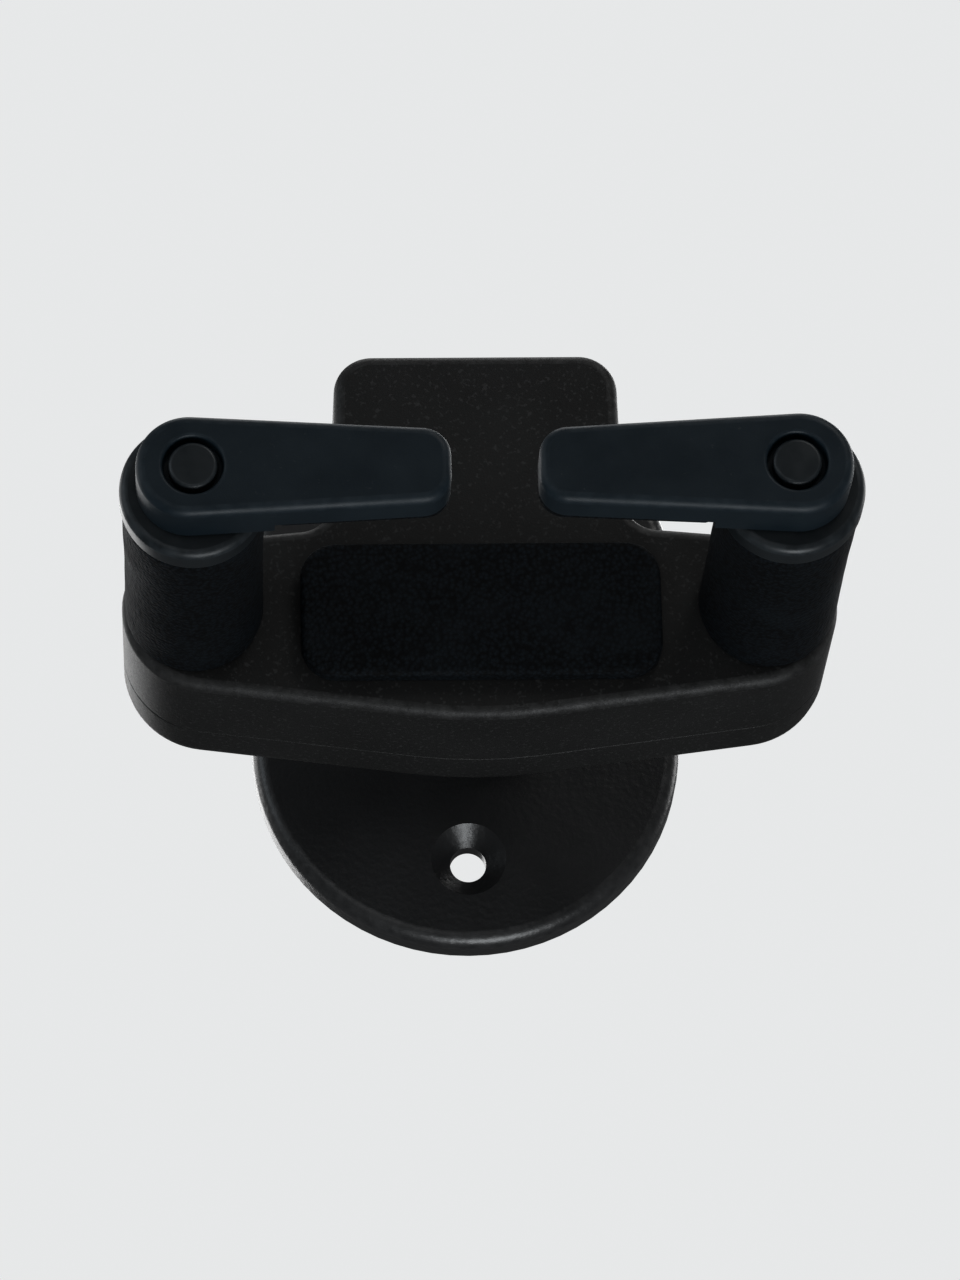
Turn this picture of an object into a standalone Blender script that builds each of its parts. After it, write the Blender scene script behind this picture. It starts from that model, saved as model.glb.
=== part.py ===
"""Wall guitar hanger whose gates close by themselves, as a Blender model in metres.

The frame is +X right, +Y into the wall and +Z up. The wall plane is Y = 0, and the origin is the middle of
the wall plate's back face. The hanger is drawn loaded: the yoke is down and both gates are closed.

How it works: the wall plate carries a stem. A guide block turns on the stem's front end, so the yoke can
swivel to suit a headstock. The yoke's housing slides up and down on two rods through the guide block, and
two springs lift it. The block's sides are racks. Through an idler and a pinion on each side they turn the
gate shafts, so the weight of an instrument closes the gates, and lifting it off opens them upwards.
"""

import math

import bmesh
import bpy
from mathutils import Matrix, Vector

# Driving dimensions, in metres.
ARM_X = 0.0405  # from the middle to each arm's axis
ARM_Z = -0.014  # height of the arm axes with the gates closed
GAP = 0.0003  # between pieces that touch, grip or thread into each other
WALL = 0.0024  # wall of the moulded housing

# Wall plate and stem.
PLATE_HALF_W, PLATE_HALF_H, PLATE_T = 0.032, 0.045, 0.0055
WALL_SCREW_Z, WALL_SCREW_R, WALL_SINK_R = 0.0315, 0.0027, 0.0056
STEM_FLANGE_R, STEM_R, STEM_NOSE_R = 0.017, 0.009, 0.007
STEM_FLANGE_FRONT, STEM_NOSE_Y, STEM_FRONT = -0.0100, -0.0320, -0.0397
STEM_FILLET = 0.0074
STEM_SCREW_PITCH_R, STEM_SCREW_R, STEM_SCREW_TIP = 0.012, 0.0018, -0.0084
SINK_R, SINK_DEPTH = 0.0038, 0.0020

# Housing of the yoke, front to back.
HOUSING_FRONT, SEAM_Y, HOUSING_BACK = -0.0640, -0.0460, -0.0340
END_X, END_TOP, END_BOTTOM = 0.0507, 0.0098, 0.0104
END_TOP_R, END_LOW_R = 0.0098, 0.0124
BACK_RIM = 0.0054  # rounding between the back cover's side and its back face
TOWER_HALF_W, TOWER_TOP, TOWER_R = 0.0202, 0.0250, 0.0055
SHOULDER_X, SHOULDER_Z, SHOULDER_R = 0.0208, 0.0126, 0.0050
KEEL_Z, KEEL_R = -0.0310, 0.0700
POST_R, POST_TOP_Z, POST_LOW_Z = 0.0030, 0.0180, -0.0245

# Arms, front to back.
COLLAR_FRONT, COLLAR_BACK, COLLAR_R, COLLAR_SKIN = -0.1096, -0.1052, 0.0100, 0.0010
SLEEVE_R, TUBE_R, TUBE_BORE = 0.0097, 0.0075, 0.0055
TUBE_BACK = -0.0589
FRONT_BUSH_BACK, REAR_BUSH_FRONT, REAR_BUSH_R = -0.0990, -0.0399, 0.0045
SHAFT_R, SHAFT_HEX_R = 0.0030, 0.0029

# Gates.
GATE_FRONT, GATE_BACK = -0.1180, -0.1100
GATE_LENGTH, GATE_BOSS, GATE_TIP = 0.0346, 0.0077, 0.0053
GATE_EDGE = 0.0013
PAD_START, PAD_T = 0.0112, 0.0020

# Gear train: stub teeth, all of one module, across the same depth.
MODULE, PRESSURE, ADDENDUM, DEDENDUM = 0.001, math.radians(25), 0.0008, 0.0010
BACKLASH = 0.0002
PINION_TEETH, IDLER_TEETH, RACK_TEETH = 10, 16, 5
PINION_R = MODULE * PINION_TEETH / 2
IDLER_R = MODULE * IDLER_TEETH / 2
IDLER_X = ARM_X - PINION_R - IDLER_R
RACK_X = IDLER_X - IDLER_R
PITCH = math.pi * MODULE
TRAVEL = PINION_R * math.pi / 2  # lift of the yoke that turns the gates a quarter turn
GEAR_FRONT, GEAR_BACK = -0.0550, -0.0496
AXLE_R = 0.0020

# Guide block, rods and springs.
BLOCK_FRONT, BLOCK_BACK = -0.0555, -0.0410
BLOCK_TOP, BLOCK_BOTTOM, BLOCK_HALF_W = 0.0070, -0.0175, 0.0173
NOTCH_HALF_W, NOTCH_TOP = 0.0050, -0.0128
ROD_X, ROD_Y, ROD_R, ROD_SEAT = 0.0110, -0.0500, 0.0020, 0.0012
BOLT_R, BOLT_HEAD_R, BOLT_SINK_R = 0.0025, 0.0046, 0.0065
STOP_RADIUS, STOP_R, SWIVEL_RANGE = 0.0050, 0.0011, math.radians(15)
SPRING_R, SPRING_WIRE_R, SPRING_TURNS = 0.0036, 0.0005, 6

ARC_STEP = math.radians(12)  # facets of the rounded outlines; the large arcs get twice as many
EDGE_STEPS = 2  # facets of the rounded rims
SIDES = (("left", -1), ("right", 1))

MATERIALS = {
    "plate_paint": ((0.014, 0.015, 0.016), 0.42, 0.0),
    "housing_plastic": ((0.014, 0.015, 0.017), 0.55, 0.0),
    "sleeve_foam": ((0.009, 0.012, 0.015), 0.80, 0.0),
    "gate_rubber": ((0.012, 0.017, 0.022), 0.60, 0.0),
    "black_screw": ((0.030, 0.030, 0.032), 0.35, 1.0),
    "steel": ((0.550, 0.560, 0.570), 0.30, 1.0),
    "bronze": ((0.480, 0.330, 0.170), 0.38, 1.0),
    "nylon": ((0.740, 0.730, 0.680), 0.50, 0.0),
}


# Scene, materials and grouping.


def clear_scene():
    for obj in list(bpy.data.objects):
        bpy.data.objects.remove(obj)


def new_collection(name):
    collection = bpy.data.collections.new(name)
    bpy.context.scene.collection.children.link(collection)
    return collection


def make_material(name, colour, roughness, metallic):
    material = bpy.data.materials.new(name)
    material.use_nodes = True
    shader = material.node_tree.nodes["Principled BSDF"]
    shader.inputs["Base Color"].default_value = (*colour, 1)
    shader.inputs["Roughness"].default_value = roughness
    shader.inputs["Metallic"].default_value = metallic
    return material


clear_scene()
PART = new_collection("wall_guitar_hanger")
CUTTERS = new_collection("cutters")
SKIN = {name: make_material(name, *values) for name, values in MATERIALS.items()}


def axis_empty(name, location):
    """An empty on a joint's axis, the parent of what turns or slides with it."""
    empty = bpy.data.objects.new(name, None)
    empty.location = location
    PART.objects.link(empty)
    return empty


def place(obj, material, parent=None):
    """Makes obj a piece of the hanger, with its material, under its joint's empty."""
    obj.data.materials.clear()
    obj.data.materials.append(SKIN[material])
    if parent:
        obj.parent = parent
        obj.location = obj.location - parent.location
    return obj


def helper(obj):
    """Makes obj a tool for a Boolean, which isn't a piece itself."""
    PART.objects.unlink(obj)
    CUTTERS.objects.link(obj)
    obj.hide_render = True
    obj.display_type = "WIRE"
    return obj


def boolean(obj, tool, operation):
    modifier = obj.modifiers.new(f"{operation.lower()}_{tool.name}", "BOOLEAN")
    modifier.operation = operation
    modifier.object = helper(tool)


def cut(obj, *tools):
    for tool in tools:
        boolean(obj, tool, "DIFFERENCE")


def join(obj, *tools):
    for tool in tools:
        boolean(obj, tool, "UNION")


# Outlines, as lists of (x, z) points.


def circle(radius, at=(0, 0), count=24):
    angles = [2 * math.pi * i / count for i in range(count)]
    return [(at[0] + radius * math.cos(a), at[1] + radius * math.sin(a)) for a in angles]


def rounded(corners):
    """A closed outline through corners (x, z, radius), anticlockwise, with an arc at each corner."""
    points = []
    for i, (x, z, radius) in enumerate(corners):
        here = Vector((x, z))
        before = (here - Vector(corners[i - 1][:2])).normalized()
        after = (Vector(corners[(i + 1) % len(corners)][:2]) - here).normalized()
        turn = math.atan2(before.cross(after), before.dot(after))
        if radius == 0:
            points.append((x, z))
            continue
        start = here - before * radius * math.tan(abs(turn) / 2)
        centre = start + Vector((-before.y, before.x)) * math.copysign(radius, turn)
        steps = max(2, round(abs(turn) / (ARC_STEP / 2 if radius > 0.02 else ARC_STEP)))
        for k in range(steps + 1):
            arm = (start - centre).copy()
            arm.rotate(Matrix.Rotation(turn * k / steps, 2))
            points.append(tuple(centre + arm))
    return points


def inset(corners, depth):
    """The same anticlockwise corners with every edge moved inwards by depth."""
    moved = []
    for i, (x, z, radius) in enumerate(corners):
        here = Vector((x, z))
        before = (here - Vector(corners[i - 1][:2])).normalized()
        after = (Vector(corners[(i + 1) % len(corners)][:2]) - here).normalized()
        first, second = Vector((-before.y, before.x)), Vector((-after.y, after.x))
        corner = here + (first + second) * depth / (1 + first.dot(second))
        bulges = before.cross(after) > 0
        sharpest = min(radius, 0.0004)
        moved.append((corner.x, corner.y, max(radius - depth, sharpest) if bulges else radius + depth))
    return moved


def oblong(half_w, low, high, radius):
    """Anticlockwise corners of a rounded rectangle that is centred on the hanger's middle plane."""
    return [(half_w, low, radius), (half_w, high, radius), (-half_w, high, radius), (-half_w, low, radius)]


def mirrored(half):
    """Corners on the right, bottom to top, followed by their mirror images, top to bottom."""
    return half + [(-x, z, radius) for x, z, radius in reversed(half) if x > 0]


def involute(angle):
    return math.tan(angle) - angle


def gear_outline(teeth, first_tooth):
    """Involute teeth, one of them centred on the angle first_tooth."""
    pitch_r = MODULE * teeth / 2
    base_r = pitch_r * math.cos(PRESSURE)
    root_r, tip_r = pitch_r - DEDENDUM, pitch_r + ADDENDUM
    half_tooth = (PITCH / 2 - BACKLASH / 2) / 2 / pitch_r
    radii = [root_r] + [base_r + (tip_r - base_r) * k / 3 for k in range(4)]
    flank = []
    for radius in radii:
        pressure = math.acos(min(1, base_r / radius))
        flank.append((radius, half_tooth + involute(PRESSURE) - involute(pressure)))
    points = []
    for i in range(teeth):
        middle = first_tooth + 2 * math.pi * i / teeth
        for radius, angle in flank:
            points.append((radius * math.cos(middle - angle), radius * math.sin(middle - angle)))
        for radius, angle in reversed(flank):
            points.append((radius * math.cos(middle + angle), radius * math.sin(middle + angle)))
    return points


def rack_side():
    """The guide block's right edge from bottom to top: straight-flanked teeth, with a space level with
    the idler's axis while the gates are closed."""
    half_tooth = (PITCH / 2 - BACKLASH / 2) / 2
    slope = math.tan(PRESSURE)
    points = []
    for i in range(RACK_TEETH):
        middle = ARM_Z + PITCH * (i - 0.5)
        for depth, way in ((-DEDENDUM, -1), (ADDENDUM, -1), (ADDENDUM, 1), (-DEDENDUM, 1)):
            points.append((RACK_X + depth, middle + way * (half_tooth - depth * slope)))
    return points


# Solids.


def outline_solid(name, outlines, front, back, at=(0, 0)):
    """A plate between two depths. The first outline is its edge, and any others are holes in it."""
    curve = bpy.data.curves.new(name, "CURVE")
    curve.dimensions = "2D"
    curve.fill_mode = "BOTH"
    curve.extrude = (back - front) / 2
    for outline in outlines:
        spline = curve.splines.new("POLY")
        spline.points.add(len(outline) - 1)
        for point, (x, z) in zip(spline.points, outline):
            point.co = (x, z, 0, 1)
        spline.use_cyclic_u = True
    drawn = bpy.data.objects.new(name + "_outline", curve)
    drawn.location = (at[0], (front + back) / 2, at[1])
    drawn.rotation_euler.x = math.pi / 2
    PART.objects.link(drawn)
    return solid_from_curve(name, drawn)


def solid_from_curve(name, drawn):
    """A closed mesh object made from a filled or bevelled curve object, which it replaces."""
    bpy.context.view_layer.update()
    graph = bpy.context.evaluated_depsgraph_get()
    mesh = bpy.data.meshes.new_from_object(drawn.evaluated_get(graph))
    mesh.name = name
    turned_mesh = bmesh.new()
    turned_mesh.from_mesh(mesh)
    bmesh.ops.remove_doubles(turned_mesh, verts=turned_mesh.verts, dist=1e-6)
    bmesh.ops.rotate(turned_mesh, verts=turned_mesh.verts, matrix=drawn.rotation_euler.to_matrix())
    bmesh.ops.recalc_face_normals(turned_mesh, faces=turned_mesh.faces)
    turned_mesh.to_mesh(mesh)
    turned_mesh.free()
    solid = bpy.data.objects.new(name, mesh)
    solid.location = drawn.location
    PART.objects.link(solid)
    bpy.data.objects.remove(drawn)
    return solid


def ring(name, outer, inner, front, back, at=(0, 0), count=24):
    return outline_solid(name, [circle(outer, count=count), circle(inner, count=count)], front, back, at)


def rod(name, radius, start, end, count=24, end_radius=None):
    """A round bar, or a cone, between two points along one axis."""
    start, end = Vector(start), Vector(end)
    mesh = bpy.data.meshes.new(name)
    bar = bmesh.new()
    bmesh.ops.create_cone(
        bar,
        cap_ends=True,
        segments=count,
        radius1=radius,
        radius2=radius if end_radius is None else end_radius,
        depth=(end - start).length,
    )
    turn = Vector((0, 0, 1)).rotation_difference(end - start).to_matrix()
    bmesh.ops.rotate(bar, verts=bar.verts, matrix=turn)
    bar.to_mesh(mesh)
    bar.free()
    obj = bpy.data.objects.new(name, mesh)
    obj.location = (start + end) / 2
    PART.objects.link(obj)
    return obj


def rod_y(name, radius, front, back, at, count=24, back_radius=None):
    return rod(name, radius, (at[0], front, at[1]), (at[0], back, at[1]), count, back_radius)


def box(name, low, high):
    mesh = bpy.data.meshes.new(name)
    shape = bmesh.new()
    bmesh.ops.create_cube(shape, size=1)
    size = Vector(high) - Vector(low)
    bmesh.ops.scale(shape, verts=shape.verts, vec=[abs(side) for side in size])
    shape.to_mesh(mesh)
    shape.free()
    obj = bpy.data.objects.new(name, mesh)
    obj.location = (Vector(low) + Vector(high)) / 2
    PART.objects.link(obj)
    return obj


def turned(name, profile, at=(0, 0), closed=False, count=32):
    """A shape turned about a line along Y. The profile is (radius, y), back to front on its outside."""
    mesh = bpy.data.meshes.new(name)
    mesh.from_pydata([(radius, y, 0) for radius, y in profile], profile_edges(profile, closed), [])
    obj = bpy.data.objects.new(name, mesh)
    obj.location = (at[0], 0, at[1])
    PART.objects.link(obj)
    screw = obj.modifiers.new("turn", "SCREW")
    screw.axis = "Y"
    screw.steps = screw.render_steps = count
    screw.use_merge_vertices = True
    screw.merge_threshold = 1e-6
    return obj


def profile_edges(profile, closed):
    edges = [(i, i + 1) for i in range(len(profile) - 1)]
    return edges + [(len(profile) - 1, 0)] if closed else edges


def quarter_round(radius, face, way):
    """(inset, y) steps of a rounded rim, from its flat face to its side. way is 1 where the side is behind."""
    angles = [math.pi / 2 * k / EDGE_STEPS for k in range(EDGE_STEPS + 1)]
    return [(radius * (1 - math.sin(a)), face + way * radius * (1 - math.cos(a))) for a in angles]


def moulding(name, corners, front, back, front_edge=0, back_edge=0, at=(0, 0)):
    """A plate between two depths whose front and back rims are rounded."""
    layers = quarter_round(front_edge, front, 1) if front_edge else [(0, front)]
    layers += reversed(quarter_round(back_edge, back, -1)) if back_edge else [(0, back)]
    rings = [[(x, y, z) for x, z in rounded(inset(corners, depth))] for depth, y in layers]
    count = len(rings[0])
    faces = [list(range(count)), list(range(count * (len(rings) - 1), count * len(rings)))]
    for k in range(len(rings) - 1):
        for i in range(count):
            after = (i + 1) % count
            faces.append([k * count + i, k * count + after, (k + 1) * count + after, (k + 1) * count + i])
    mesh = bpy.data.meshes.new(name)
    mesh.from_pydata([point for ring_points in rings for point in ring_points], [], faces)
    shape = bmesh.new()
    shape.from_mesh(mesh)
    bmesh.ops.recalc_face_normals(shape, faces=shape.faces)
    shape.to_mesh(mesh)
    shape.free()
    obj = bpy.data.objects.new(name, mesh)
    obj.location = (at[0], 0, at[1])
    PART.objects.link(obj)
    return obj


def sunk_screw(name, at, parent=None):
    """A countersunk screw through the wall plate into the stem, its head just below the back face."""
    head, neck = -GAP, -GAP - SINK_DEPTH
    profile = [(0, head), (SINK_R, head), (STEM_SCREW_R, neck), (STEM_SCREW_R, STEM_SCREW_TIP), (0, STEM_SCREW_TIP)]
    return place(turned(name, profile, at, count=16), "steel", parent)


# Wall side: plate, stem and stop pin.


def stem_screw_places():
    angles = [math.radians(90 + 120 * i) for i in range(3)]
    return [(STEM_SCREW_PITCH_R * math.cos(a), STEM_SCREW_PITCH_R * math.sin(a)) for a in angles]


def make_wall_plate():
    corners = oblong(PLATE_HALF_W, -PLATE_HALF_H, PLATE_HALF_H, PLATE_HALF_W - 0.0001)
    plate = moulding("wall_plate", corners, -PLATE_T, 0, front_edge=0.0022)
    for name, at in (("_low", (0, -WALL_SCREW_Z)), ("_high", (0, WALL_SCREW_Z))):
        depth = WALL_SINK_R - WALL_SCREW_R
        cut(plate, rod_y("wall_hole" + name, WALL_SCREW_R, -PLATE_T - 0.001, 0.001, at))
        cut(plate, rod_y("wall_sink" + name, WALL_SINK_R + GAP, -PLATE_T - GAP, -PLATE_T + depth, at, 24, WALL_SCREW_R))
    for i, at in enumerate(stem_screw_places()):
        cut(plate, rod_y(f"stem_hole_{i}", STEM_SCREW_R + GAP, -PLATE_T - 0.001, 0.001, at, 16))
        cut(plate, rod_y(f"stem_sink_{i}", STEM_SCREW_R, -SINK_DEPTH - GAP, GAP, at, 16, SINK_R + 2 * GAP))
    return place(plate, "plate_paint")


def make_stem():
    foot = -PLATE_T - GAP
    fillet_r = STEM_R + STEM_FILLET
    fillet_y = STEM_FLANGE_FRONT - 0.0008 - STEM_FILLET
    sweep = [math.radians(15 * k) for k in range(7)]
    fillet = [(fillet_r - STEM_FILLET * math.sin(a), fillet_y + STEM_FILLET * math.cos(a)) for a in sweep]
    profile = [(0, foot), (STEM_FLANGE_R, foot), (STEM_FLANGE_R, STEM_FLANGE_FRONT), *fillet]
    profile += [(STEM_R, STEM_NOSE_Y + 0.002), (STEM_NOSE_R, STEM_NOSE_Y), (STEM_NOSE_R, STEM_FRONT), (0, STEM_FRONT)]
    stem = turned("stem", profile)
    cut(stem, rod_y("stem_thread", BOLT_R + GAP, STEM_FRONT - 0.001, -0.0240, (0, 0)))
    cut(stem, rod_y("stem_pin_hole", STOP_R + GAP, STEM_FRONT - 0.001, -0.0337, (0, STOP_RADIUS), 12))
    for i, at in enumerate(stem_screw_places()):
        cut(stem, rod_y(f"flange_thread_{i}", STEM_SCREW_R + GAP, STEM_SCREW_TIP - GAP, 0, at, 16))
        sunk_screw(f"stem_screw_{i + 1}", at)
    return place(stem, "plate_paint")


def make_stop_pin():
    """The pin in the stem's nose that limits how far the guide block turns."""
    pin = rod_y("swivel_stop_pin", STOP_R, -0.0440, -0.0340, (0, STOP_RADIUS), 12)
    return place(pin, "steel")


# Carrier: what turns on the stem.


def make_guide_block(parent):
    right = [(NOTCH_HALF_W, NOTCH_TOP), (NOTCH_HALF_W, BLOCK_BOTTOM), (RACK_X - DEDENDUM, BLOCK_BOTTOM)]
    right += rack_side()
    shoulder = rack_side()[-1][1] + 0.0003
    right += [(RACK_X - DEDENDUM, shoulder), (BLOCK_HALF_W, shoulder + 0.0012), (BLOCK_HALF_W, BLOCK_TOP)]
    outline = right + [(-x, z) for x, z in reversed(right)]
    block = outline_solid("guide_block", [outline, circle(BOLT_R + GAP)], BLOCK_FRONT, BLOCK_BACK)
    cut(block, rod_y("bolt_sink", BOLT_SINK_R, BLOCK_FRONT - 0.001, BLOCK_FRONT + 0.005, (0, 0)))
    for side, way in SIDES:
        low, high = (way * ROD_X, ROD_Y, BLOCK_BOTTOM - 0.002), (way * ROD_X, ROD_Y, BLOCK_TOP + 0.002)
        cut(block, rod(f"rod_bore_{side}", ROD_R + GAP, low, high, 16))
    cut(block, make_stop_slot())
    return place(block, "nylon", parent)


def make_stop_slot():
    """The curved slot in the block's back that the stop pin rides in."""
    reach = SWIVEL_RANGE + (STOP_R + GAP) / STOP_RADIUS + math.radians(2)
    outer, inner = STOP_RADIUS + STOP_R + 1.3 * GAP, STOP_RADIUS - STOP_R - 1.3 * GAP
    steps = [math.pi / 2 - reach + 2 * reach * k / 8 for k in range(9)]
    outline = [(outer * math.cos(a), outer * math.sin(a)) for a in steps]
    outline += [(inner * math.cos(a), inner * math.sin(a)) for a in reversed(steps)]
    return outline_solid("stop_slot", [outline], BLOCK_BACK - 0.0036, BLOCK_BACK + 0.001)


def make_swivel_fixings(parent):
    """The thrust washer and bolt stay still with the stem, and the washer under the head turns."""
    holes = [circle(STEM_NOSE_R), circle(BOLT_R + GAP), circle(STOP_R + GAP, (0, STOP_RADIUS), 12)]
    place(outline_solid("thrust_washer", holes, -0.0407, -0.0400), "bronze")
    place(ring("bolt_washer", 0.0060, BOLT_R + GAP, -0.0516, -0.0508), "steel", parent)
    head_back, head_front = -0.0519, -0.0551
    profile = [(0, -0.0250), (BOLT_R, -0.0250), (BOLT_R, head_back), (BOLT_HEAD_R, head_back)]
    profile += [(BOLT_HEAD_R, head_front + 0.0005), (BOLT_HEAD_R - 0.0005, head_front), (0, head_front)]
    bolt = turned("swivel_bolt", profile, count=24)
    cut(bolt, rod_y("bolt_key", 0.0023, head_front - 0.001, head_front + 0.002, (0, 0), 6))
    place(bolt, "steel")


def make_springs(parent):
    low, high = BLOCK_TOP + GAP + SPRING_WIRE_R, TOWER_TOP - WALL - GAP - SPRING_WIRE_R
    steps = 12 * SPRING_TURNS
    for side, way in SIDES:
        curve = bpy.data.curves.new(f"lift_spring_{side}", "CURVE")
        curve.dimensions = "3D"
        curve.bevel_depth = SPRING_WIRE_R
        curve.bevel_resolution = 1
        curve.use_fill_caps = True
        spline = curve.splines.new("POLY")
        spline.points.add(steps)
        for k, point in enumerate(spline.points):
            turn = way * 2 * math.pi * SPRING_TURNS * k / steps
            x, y = SPRING_R * math.cos(turn), SPRING_R * math.sin(turn)
            point.co = (x, y, (high - low) * k / steps, 1)
        spring = bpy.data.objects.new(f"lift_spring_{side}", curve)
        spring.location = (way * ROD_X, ROD_Y, low)
        PART.objects.link(spring)
        place(spring, "steel", parent)


# Yoke: housing, rods and arms.


def housing_corners():
    """The housing's outline seen from the front: two round ends, a low keel and a tower in the middle."""
    right = [
        (0, KEEL_Z, KEEL_R),
        (END_X, ARM_Z - END_BOTTOM, END_LOW_R),
        (END_X, ARM_Z + END_TOP, END_TOP_R),
        (SHOULDER_X, ARM_Z + SHOULDER_Z, SHOULDER_R),
        (TOWER_HALF_W, TOWER_TOP, TOWER_R),
    ]
    return mirrored(right)


def arm_places():
    return [(f"_{side}", (way * ARM_X, ARM_Z)) for side, way in SIDES]


def idler_places():
    return [(f"_{side}", (way * IDLER_X, ARM_Z)) for side, way in SIDES]


def post_places():
    return [("_top", (0, POST_TOP_Z)), ("_bottom", (0, POST_LOW_Z))]


def make_front_shell(parent):
    shell = moulding("front_shell", housing_corners(), HOUSING_FRONT, SEAM_Y - GAP, front_edge=0.0016)
    cavity = inset(housing_corners(), WALL)
    cut(shell, moulding("front_cavity", cavity, HOUSING_FRONT + WALL, SEAM_Y + 0.001))
    inside = HOUSING_FRONT + WALL / 2
    for name, at in arm_places():
        join(shell, rod_y("arm_boss" + name, SLEEVE_R - 0.0006, inside, -0.0565, at))
        cut(shell, rod_y("tube_socket" + name, TUBE_R + GAP, -0.0660, TUBE_BACK + GAP, at))
        cut(shell, rod_y("shaft_hole" + name, SHAFT_R + 0.0006, -0.0620, -0.0550, at, 16))
    for name, at in idler_places():
        join(shell, rod_y("idler_boss" + name, 0.0038, inside, GEAR_FRONT - 0.0004, at, 16))
        cut(shell, rod_y("axle_seat_front" + name, AXLE_R + GAP, -0.0629, -0.0500, at, 16))
    for name, at in post_places():
        join(shell, rod_y("post_front" + name, POST_R, inside, SEAM_Y - 0.0006, at, 16))
        cut(shell, rod_y("post_thread" + name, 0.0017, -0.0590, SEAM_Y + 0.001, at, 12))
    for side, way in SIDES:
        low = (way * ROD_X, ROD_Y, -0.0284)
        high = (way * ROD_X, ROD_Y, TOWER_TOP - WALL + ROD_SEAT + GAP)
        cut(shell, rod(f"rod_seat_{side}", ROD_R + GAP, low, high, 16))
    return place(shell, "housing_plastic", parent)


def make_back_cover(parent):
    cover = moulding("back_cover", housing_corners(), SEAM_Y, HOUSING_BACK, back_edge=BACK_RIM)
    cavity = inset(housing_corners(), WALL)
    cut(cover, moulding("back_cavity", cavity, SEAM_Y - 0.001, HOUSING_BACK - WALL, back_edge=BACK_RIM - WALL))
    inside = HOUSING_BACK - WALL / 2
    for name, at in arm_places():
        join(cover, rod_y("bush_boss" + name, 0.0066, REAR_BUSH_FRONT, inside, at, 16))
        cut(cover, rod_y("bush_hole" + name, REAR_BUSH_R + GAP, -0.0420, -0.0320, at))
    for name, at in idler_places():
        join(cover, rod_y("axle_boss" + name, 0.0038, GEAR_BACK + 0.0004, inside, at, 16))
        cut(cover, rod_y("axle_seat_back" + name, AXLE_R + GAP, -0.0520, -0.0351, at, 16))
    for name, at in post_places():
        join(cover, rod_y("post_back" + name, POST_R, SEAM_Y + 0.0001, inside, at, 16))
        cut(cover, rod_y("screw_hole" + name, 0.0017, -0.0480, -0.0320, at, 12))
        cut(cover, rod_y("screw_sink" + name, 0.0031, HOUSING_BACK - 0.0014, -0.0320, at, 16))
    cut(cover, make_stem_slot())
    return place(cover, "housing_plastic", parent)


def make_stem_slot():
    """The slot that lets the housing rise past the stem; its upper end rests on the stem when loaded."""
    half = STEM_NOSE_R + GAP
    low, high = -half - TRAVEL, half
    return moulding("stem_slot", oblong(half, low, high, half - 0.0001), -0.0400, -0.0320)


def make_cover_screws(parent):
    head_back, head_front, tip = HOUSING_BACK + 0.0001, HOUSING_BACK - 0.0011, -0.0570
    for name, at in post_places():
        profile = [(0, head_back), (0.0020, head_back), (0.0028, head_front + 0.0004), (0.0028, head_front)]
        profile += [(0.0014, head_front), (0.0014, tip), (0, tip)]
        place(turned("cover_screw" + name, profile, at, count=16), "black_screw", parent)


def make_guide_rods(parent):
    for side, way in SIDES:
        low = (way * ROD_X, ROD_Y, -0.0281)
        high = (way * ROD_X, ROD_Y, TOWER_TOP - WALL + ROD_SEAT)
        place(rod(f"guide_rod_{side}", ROD_R, low, high, 16), "steel", parent)


def make_idler_axles(parent):
    for name, at in idler_places():
        place(rod_y("idler_axle" + name, AXLE_R, -0.0626, -0.0354, at, 16), "steel", parent)


def make_arms(parent):
    """Each arm: a tube in the housing, a foam sleeve over it, a collar on its end and two shaft bushes."""
    tube_front = COLLAR_FRONT + COLLAR_SKIN + GAP
    for name, at in arm_places():
        place(ring("arm_tube" + name, TUBE_R, TUBE_BORE, tube_front, TUBE_BACK, at), "steel", parent)
        place(make_sleeve("arm_sleeve" + name, at), "sleeve_foam", parent)
        place(make_collar("arm_collar" + name, at), "housing_plastic", parent)
        bush_r = TUBE_BORE - GAP
        bush = ring("front_bush" + name, bush_r, SHAFT_R + GAP, tube_front, FRONT_BUSH_BACK, at)
        place(bush, "bronze", parent)
        rear = ring("rear_bush" + name, REAR_BUSH_R, SHAFT_R + GAP, REAR_BUSH_FRONT, HOUSING_BACK - GAP, at)
        place(rear, "bronze", parent)


def make_sleeve(name, at):
    front, back, edge = COLLAR_BACK + GAP, HOUSING_FRONT - GAP, 0.0008
    bore = TUBE_R + GAP
    profile = [(bore, back), (SLEEVE_R - edge, back), (SLEEVE_R, back - edge)]
    profile += [(SLEEVE_R, front + edge), (SLEEVE_R - edge, front), (bore, front)]
    return turned(name, profile, at, closed=True)


def make_collar(name, at):
    bore, hole, edge = TUBE_R + GAP, SHAFT_R + 0.001, 0.0010
    profile = [(bore, COLLAR_BACK), (COLLAR_R, COLLAR_BACK), (COLLAR_R, COLLAR_FRONT + edge)]
    profile += [(COLLAR_R - 0.3 * edge, COLLAR_FRONT + 0.3 * edge), (COLLAR_R - edge, COLLAR_FRONT)]
    profile += [(hole, COLLAR_FRONT), (hole, COLLAR_FRONT + COLLAR_SKIN), (bore, COLLAR_FRONT + COLLAR_SKIN)]
    return turned(name, profile, at, closed=True)


def make_neck_pad(parent):
    """The flat pad on the housing's front face that the back of a neck leans on."""
    corners = oblong(0.0255, ARM_Z - 0.0110, ARM_Z + 0.0090, 0.0050)
    back = HOUSING_FRONT - GAP
    return place(moulding("neck_pad", corners, back - 0.0027, back, front_edge=0.0007), "sleeve_foam", parent)


# Gates: what turns with each arm's shaft.


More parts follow.
